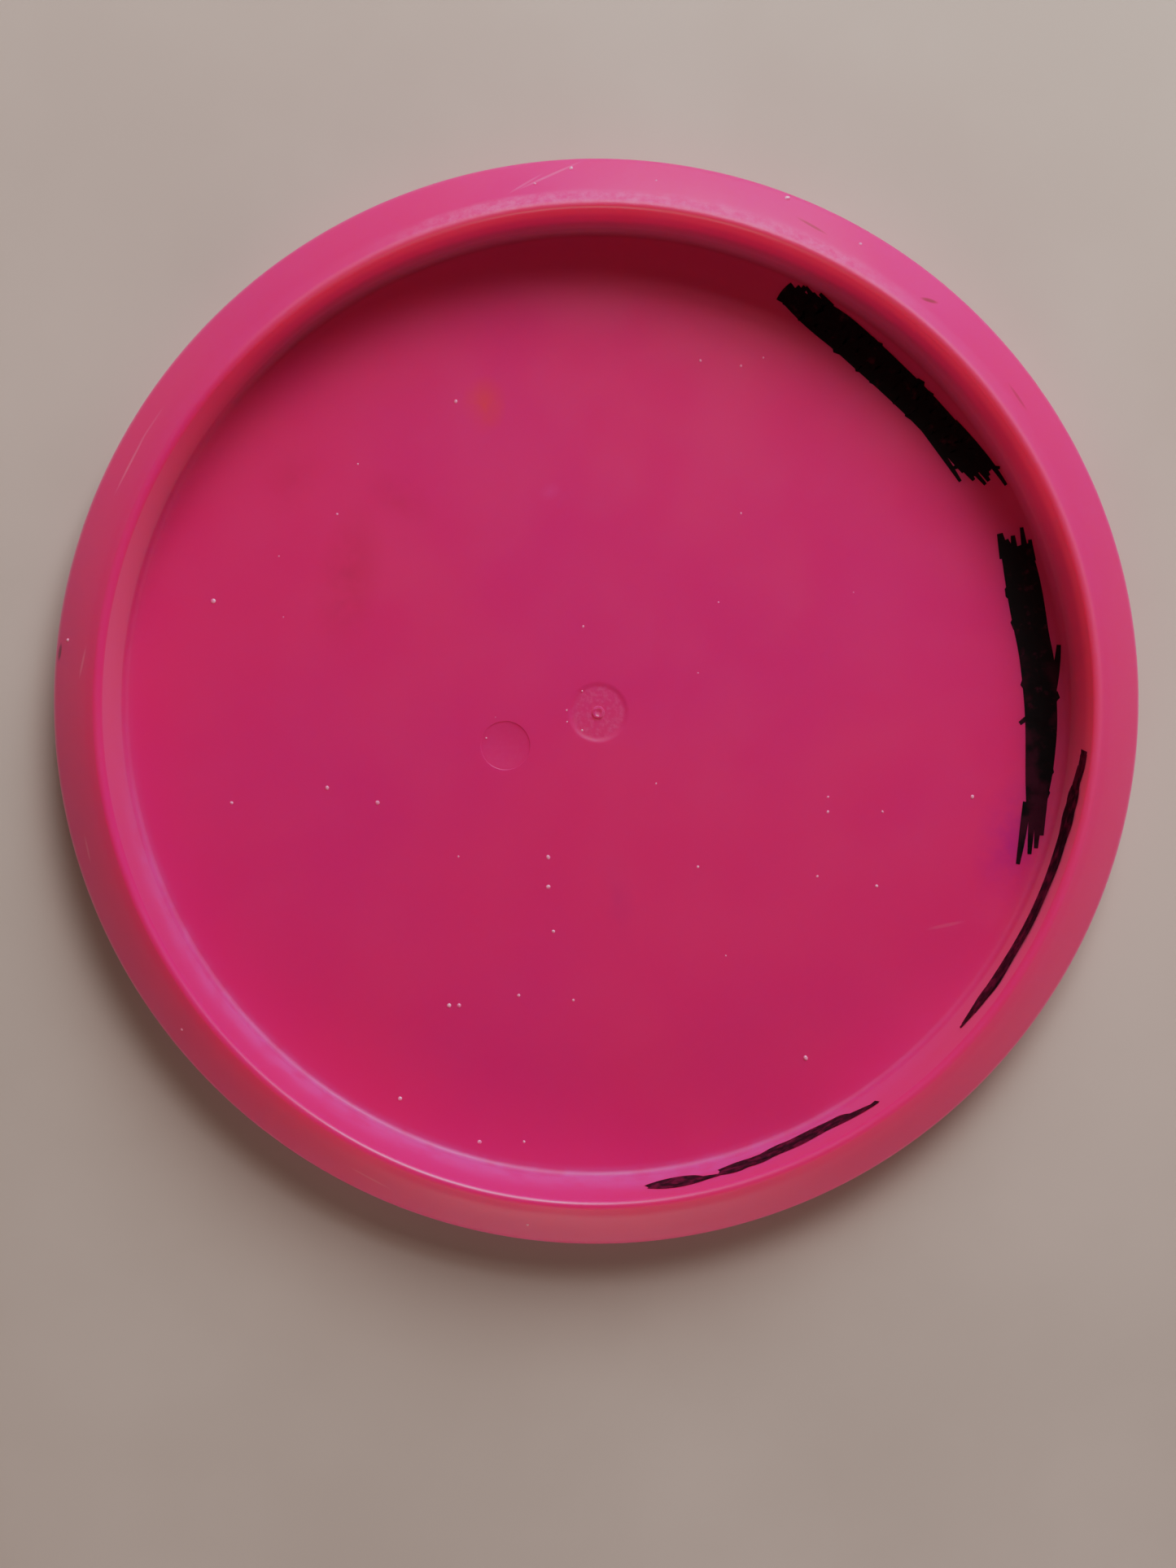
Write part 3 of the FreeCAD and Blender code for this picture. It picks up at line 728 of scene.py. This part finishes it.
# %% The plastic's gloss and relief
hair = pink.noise(1.0, 2, 0.5, pink.placed(size=(16, 0.4, 16), turn=0.35))
hair_2 = pink.noise(1.0, 2, 0.5, pink.placed(size=(0.4, 14, 16), turn=0.2))
hairlines = pink.math("MAXIMUM", pink.ramp(hair, 0.66, 0.72), pink.ramp(hair_2, 0.67, 0.73))
rough = pink.ramp(pink.noise(60, 4), 0.3, 0.7, 0.33, 0.42)
rough = pink.math("ADD", rough, pink.math("MULTIPLY", pink.math("MAXIMUM", scuffs, frost), 0.22))
foot_ring = pink.math("MULTIPLY", pink.ramp(away, 91.4 * mm, 92.6 * mm),
                      pink.ramp(tall, 8 * mm, 5 * mm))
rough = pink.math("ADD", rough, pink.math("MULTIPLY", low_wall, 0.16))
shaded_foot = pink.math("MULTIPLY", foot_ring, lit_through)
rough = pink.math("ADD", rough, pink.math("MULTIPLY", shaded_foot, 0.25))
rough = pink.math("ADD", rough, pink.math("MULTIPLY", on_ridge, 0.24))
pink.join(rough, pink.shader.inputs["Roughness"])

relief = pink.math("ADD", pink.math("MULTIPLY", pink.noise(900, 3), 0.15),
                   pink.math("MULTIPLY", pink.noise(70, 2), 0.25))
relief = pink.math("SUBTRACT", relief, pink.math("MULTIPLY", scuffs, 0.6))
relief = pink.math("SUBTRACT", relief, pink.math("MULTIPLY", hairlines, 0.05))
relief = pink.math("ADD", relief, pink.math("MULTIPLY", frost, 0.5))
bump = pink.node("ShaderNodeBump")
bump.inputs["Strength"].default_value = 0.35
bump.inputs["Distance"].default_value = 0.0002
pink.join(relief, bump.inputs["Height"])
pink.join(bump.outputs[0], pink.shader.inputs["Normal"])
for socket, value in (("Subsurface Weight", 0.5), ("Subsurface Radius", (1.0, 0.2, 0.2)),
                      ("Subsurface Scale", 0.012), ("IOR", 1.48), ("Specular IOR Level", 0.65),
                      ("Sheen Weight", 0.26), ("Sheen Roughness", 0.40),
                      ("Sheen Tint", (0.75, 0.78, 1.0, 1))):
    pink.shader.inputs[socket].default_value = value
print("plastic recipe:", len(pink.tree.nodes), "nodes")

# %% [markdown]
# ## The skin of a bubble
# Over a bubble the plastic is only a thin blister. It is shinier and paler than the plate,
# so each one catches the light as a small bright crescent.

# %% The bubbles' skin
skin = Recipe("pale_blister_plastic")
pale_clouds = skin.ramp(skin.noise(1200, 2), 0.35, 0.65)
skin.join(skin.mix(pale_clouds, (0.90, 0.22, 0.42), (0.95, 0.42, 0.58)),
          skin.shader.inputs["Base Color"])
skin.join(skin.ramp(skin.noise(900, 2), 0.3, 0.7, 0.12, 0.24), skin.shader.inputs["Roughness"])
print("blister recipe:", len(skin.tree.nodes), "nodes")

# %% [markdown]
# ## Marker ink
# Dried permanent ink is nearly black with a faint sheen. Where a single pass of the pen was
# thin, the pink shows through as dark maroon.

# %% The ink
def marker_ink(name, dense, washed, cover):
    """Dried ink. cover is how much of it is dense: higher leaves fewer maroon patches."""
    ink = Recipe(name)
    thin = ink.ramp(ink.noise(380, 4, 0.6), cover, cover + 0.16)
    worn = ink.ramp(ink.spot((88, -12, 2.4), (12, 32, 4)), 0.0, 0.6, 0.0, 0.9)
    patches = ink.math("MULTIPLY", worn, ink.ramp(ink.noise(160, 3), 0.42, 0.60))
    ink.join(ink.mix(ink.math("MAXIMUM", thin, patches), dense, washed),
             ink.shader.inputs["Base Color"])
    ink.join(ink.ramp(ink.noise(700, 3), 0.3, 0.7, 0.48, 0.68), ink.shader.inputs["Roughness"])
    relief = ink.node("ShaderNodeBump")
    relief.inputs["Strength"].default_value = 0.2
    relief.inputs["Distance"].default_value = 0.0001
    ink.join(ink.noise(1500, 3), relief.inputs["Height"])
    ink.join(relief.outputs[0], ink.shader.inputs["Normal"])
    ink.shader.inputs["Specular IOR Level"].default_value = 0.12
    return ink


ink = marker_ink("dried_marker_ink", (0.0014, 0.0007, 0.0017), (0.034, 0.002, 0.011), 0.56)
thin_ink = marker_ink("thin_marker_ink", (0.010, 0.001, 0.005), (0.090, 0.003, 0.025), 0.46)
print("ink recipes:", len(ink.tree.nodes), "nodes each")

# %% [markdown]
# ## Put the pieces in the frame
# Each piece gets its material and rides on the disc's only body. The CAD node it takes the
# place of, where it has one, is hidden.

# %% Ride, replace, finish
finished = (disc, bubble_piece, name_ink, number_ink, right_ink, lower_ink)
for piece, recipe, slot, node in (
        (disc, pink, "disc_plastic", "disc_moulding"), (bubble_piece, skin, "disc_plastic", None),
        (name_ink, ink, "marker_ink", "name_blackout_ink"),
        (number_ink, ink, "marker_ink", "number_blackout_ink"),
        (right_ink, thin_ink, "marker_ink", "wall_blackout_right"),
        (lower_ink, thin_ink, "marker_ink", "wall_blackout_lower")):
    piece.data.materials.clear()
    piece.data.materials.append(recipe.material)
    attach(piece, "root")
    if node:
        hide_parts(node)
print("pieces:", [piece.name for piece in finished])

# %% [markdown]
# ## The floor
# A plain pale floor, wide enough to reach the horizon in the low views. It lies a hair below
# the disc, so that the two faces don't fight for the same place.

# %% Floor
begin()
bpy.ops.mesh.primitive_circle_add(vertices=96, radius=3.0, fill_type="NGON",
                                  location=(0, 0, -0.0002))
floor = bpy.context.object
floor.name = floor.data.name = "floor"
paper = Recipe("pale_paper")
paper_clouds = paper.ramp(paper.noise(12, 4), 0.3, 0.7)
paper.join(paper.mix(paper_clouds, (0.50, 0.455, 0.425), (0.54, 0.495, 0.465)),
           paper.shader.inputs["Base Color"])
paper.shader.inputs["Roughness"].default_value = 0.9
floor.data.materials.append(paper.material)
print("floor:", len(floor.data.vertices), "points round its edge")

# %% [markdown]
# ## The lamps
# The main light is large and soft, beyond the top of the disc, and throws the rim's shadow on
# the plate. It is in two halves, a warm one a little higher and a cool one a little lower, so
# that the soft edge of the shadow comes out redder than the lit plate. A low lamp behind them
# brightens the far band. Two weak ones stand in for light thrown back by a bright floor.

# %% Lamps
def soft_lamp(name, direction, lift, distance, size, power, colour):
    """A square lamp aimed at the disc. direction is degrees from +X, lift above the floor."""
    turn, rise = math.radians(direction), math.radians(lift)
    towards = Vector((math.cos(turn) * math.cos(rise), math.sin(turn) * math.cos(rise),
                      math.sin(rise)))
    data = bpy.data.lights.new(name, "AREA")
    data.size, data.energy, data.color = size, power, colour
    lamp = bpy.data.objects.new(name, data)
    lamp.location = towards * distance
    lamp.rotation_euler = towards.to_track_quat("Z", "Y").to_euler()
    bpy.context.scene.collection.objects.link(lamp)


soft_lamp("ceiling_light", 71, 40.5, 1.1, 0.60, 6.5, (1.0, 0.84, 0.78))
soft_lamp("cool_ceiling_light", 71, 33.5, 1.1, 0.60, 6.9, (1.0, 1.10, 1.16))
soft_lamp("low_ceiling_light", 76, 8, 1.2, 0.7, 3.0, (1.0, 0.97, 1.0))
soft_lamp("paper_bounce", 272, 10, 0.8, 0.6, 1.8, (0.98, 0.92, 0.98))
soft_lamp("warm_bounce", 260, 15, 0.9, 0.6, 1.1, (1.0, 0.58, 0.30))

# %% [markdown]
# ## The surroundings
# A weak warm light from overhead fills the shadows, and fades to a pale grey at the horizon,
# which is what the low views see behind the disc.

# %% Surroundings
world = bpy.data.worlds.new("surroundings")
world.use_nodes = True
room = world.node_tree
direction = room.nodes.new("ShaderNodeTexCoord")
lift = room.nodes.new("ShaderNodeSeparateXYZ")
room.links.new(direction.outputs["Generated"], lift.inputs[0])
shade = room.nodes.new("ShaderNodeValToRGB")
shade.color_ramp.interpolation = "EASE"
horizon, overhead = shade.color_ramp.elements
horizon.position, horizon.color = 0.03, (0.25, 0.226, 0.212, 1)
overhead.position, overhead.color = 0.40, (0.080, 0.040, 0.016, 1)
room.links.new(lift.outputs["Z"], shade.inputs[0])
room.links.new(shade.outputs["Color"], room.nodes["Background"].inputs["Color"])
room.nodes["Background"].inputs["Strength"].default_value = 1.0
bpy.context.scene.world = world
print("surroundings:", len(room.nodes), "nodes")

# %% [markdown]
# ## The camera's response
# A camera doesn't clip bright colours at once. It holds the middle tones and bends the
# bright ones over gently, so that a strongly lit pink turns paler instead of solid red. One
# curve over the standard colours does the same for all views.

# %% Tones
look = bpy.context.scene.view_settings
look.view_transform = "Standard"
look.use_curve_mapping = True
look.curve_mapping.use_clip = True
look.curve_mapping.clip_max_x = 4.0
all_colours = look.curve_mapping.curves[3]
all_colours.points[0].location, all_colours.points[1].location = (0.0, 0.0), (4.0, 0.98)
for bright, shown in ((0.15, 0.145), (0.35, 0.345), (0.52, 0.49), (0.72, 0.575), (1.0, 0.66),
                      (1.5, 0.75), (2.4, 0.87)):
    all_colours.points.new(bright, shown)
look.curve_mapping.update()
print("response curve:", len(all_colours.points), "points")
